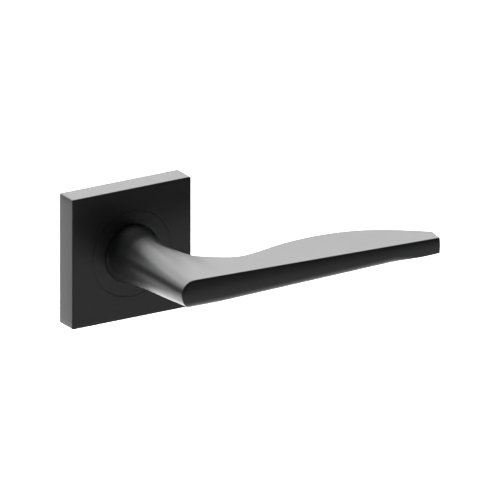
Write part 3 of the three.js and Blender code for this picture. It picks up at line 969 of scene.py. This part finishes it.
# %% Finishes for the working pieces
def metal(name, tones, roughness, line_scale, stretch, depth, cloud_scale=110.0):
    """A metal between two tones in soft clouds. Its stretched lines move the roughness between
    two values and stand a little proud of the surface."""
    look = Finish(name)
    cloud = look.noise(cloud_scale, detail=4.0)
    lines = look.noise(line_scale, detail=3.0, roughness=0.7, stretch=stretch)
    colour = look.mixed((cloud * 2.2 - 0.6).clamp(), (*tones[0], 1), (*tones[1], 1))
    low, high = roughness
    return look.finish(
        Base_Color=colour, Metallic=1.0, Roughness=low + (high - low) * lines,
        Normal=look.bump(lines, depth, 0.4))


def nylon():
    look = Finish("natural_nylon")
    cloud, grain = look.noise(160.0), look.noise(1800.0, detail=2.0)
    colour = look.mixed(cloud, (0.74, 0.71, 0.63, 1), (0.82, 0.80, 0.74, 1))
    return look.finish(
        Base_Color=colour, Roughness=0.5 + 0.12 * grain, IOR=1.53, Subsurface_Weight=0.12,
        Subsurface_Radius=(0.0016, 0.0012, 0.0008), Normal=look.bump(grain, 0.00002, 0.4))


zinc_plate = metal(
    "bright_zinc_plate", ((0.55, 0.59, 0.66), (0.70, 0.67, 0.58)), (0.2, 0.42),
    line_scale=1500.0, stretch=(1, 0.08, 1), depth=0.00002)
cast_zinc = metal(
    "die_cast_zinc", ((0.33, 0.34, 0.36), (0.46, 0.46, 0.47)), (0.42, 0.72),
    line_scale=1300.0, stretch=(1, 1, 1), depth=0.00006, cloud_scale=60.0)
spring_steel = metal(
    "tempered_spring_steel", ((0.15, 0.17, 0.21), (0.27, 0.27, 0.27)), (0.22, 0.46),
    line_scale=1900.0, stretch=(1, 1, 0.15), depth=0.00002)
black_oxide = metal(
    "black_oxide_steel", ((0.045, 0.045, 0.05), (0.095, 0.09, 0.088)), (0.3, 0.55),
    line_scale=1400.0, stretch=(1, 1, 1), depth=0.00002)

wear(zinc_plate, back_sheet, spindle, *posts)
wear(spring_steel, washer, circlip, spring)
wear(black_oxide, grub, *screws)
wear(nylon(), sleeve)


def dress(material, *names):
    """Gives the frame's own pieces a finish through their material slots."""
    for name in names:
        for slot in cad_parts[name].material_slots:
            slot.material = material
        print(name, "slots:", len(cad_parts[name].material_slots))


dress(cast_zinc, "mounting_plate")
dress(zinc_plate, "driver_plate")
dress(spring_steel, "cover_clip_1", "cover_clip_2", "cover_clip_3", "cover_clip_4")

# %% [markdown]
# ## Floor, light and camera
#
# The handle hangs in the air as it would stand out from a door, over a wide pale floor. A black
# coating shows only what it reflects, so each light is placed where one face looks. Two low
# softboxes behind give the flat tops and the neck their grey. One overhead draws the neck's
# highlight. One washes the floor, and one that faces down behind the handle makes the floor
# bright where the underside looks. Nothing stands in front, so the front faces stay black.

# %% Floor, lights and camera
def floor():
    span, level = 12.0, -0.42
    corners = np.array([[-1, -1], [1, -1], [1, 1], [-1, 1]]) * span
    mesh = bpy.data.meshes.new("studio_floor")
    mesh.from_pydata([(x, y, level) for x, y in corners.tolist()], [], [(0, 1, 2, 3)])
    plane = bpy.data.objects.new("studio_floor", mesh)
    bpy.context.scene.collection.objects.link(plane)
    pale = Finish("pale_floor")
    tone = pale.noise(1.4, detail=2.0)
    colour = pale.mixed(tone, (0.86, 0.86, 0.86, 1), (0.9, 0.9, 0.9, 1))
    pale.finish(Base_Color=colour, Roughness=0.9)
    wear(pale.material, plane)


def softbox(name, at, back, width, height, radiance):
    """A rectangular light at a place, with its back turned towards a direction."""
    lamp = bpy.data.lights.new(name, "AREA")
    lamp.shape = "RECTANGLE"
    lamp.size, lamp.size_y = width, height
    lamp.energy = radiance * math.pi * width * height
    holder = bpy.data.objects.new(name, lamp)
    bpy.context.scene.collection.objects.link(holder)
    holder.location = at
    holder.rotation_euler = back.to_track_quat("Z", "Y").to_euler()


def soft_light(name, azimuth, elevation, distance, width, height, radiance):
    """A softbox that faces the handle. Its place is a compass direction, counted from straight
    behind the handle towards its tip, and a height above the horizon, in degrees."""
    turn, rise = math.radians(azimuth), math.radians(elevation)
    level = math.cos(rise)
    towards = Vector((math.sin(turn) * level, math.cos(turn) * level, math.sin(rise)))
    softbox(name, distance * towards, towards, width, height, radiance)


def camera():
    """A parallel view from the front left and a little above, framed on the whole handle."""
    azimuth, elevation = math.radians(-30.55), math.radians(19.94)
    back = np.array([math.sin(azimuth) * math.cos(elevation),
                     -math.cos(azimuth) * math.cos(elevation), math.sin(elevation)])
    right = np.array([math.cos(azimuth), math.sin(azimuth), 0.0])
    up = np.cross(back, right)
    aim = 0.04938 * right - 0.00151 * up
    distance = 0.6
    lens = bpy.data.cameras.new("camera")
    lens.type = "ORTHO"
    lens.ortho_scale = 0.18839
    lens.clip_end = 50
    eye = bpy.data.objects.new("camera", lens)
    bpy.context.scene.collection.objects.link(eye)
    eye.location = aim + back * distance
    eye.rotation_euler = (math.pi / 2 - elevation, 0, azimuth)
    bpy.context.scene.camera = eye


floor()
soft_light("behind_right", 30, 17, 1.7, 2.2, 0.75, 2.1)
soft_light("behind_left", -48, 27, 1.7, 1.8, 1.0, 2.2)
soft_light("overhead", 10, 62, 1.0, 1.6, 1.1, 4.3)
soft_light("floor_wash", 0, 37, 2.0, 3.2, 1.2, 2.2)
softbox("floor_glow", (0.15, 0.68, -0.15), Vector((0, 0, 1)), 1.5, 0.9, 2.6)
camera()

world = bpy.data.worlds.new("studio")
bpy.context.scene.world = world
world.use_nodes = True
world.node_tree.nodes["Background"].inputs[0].default_value = (1, 1, 1, 1)
world.node_tree.nodes["Background"].inputs[1].default_value = 0.05
bpy.context.scene.view_settings.view_transform = "Standard"
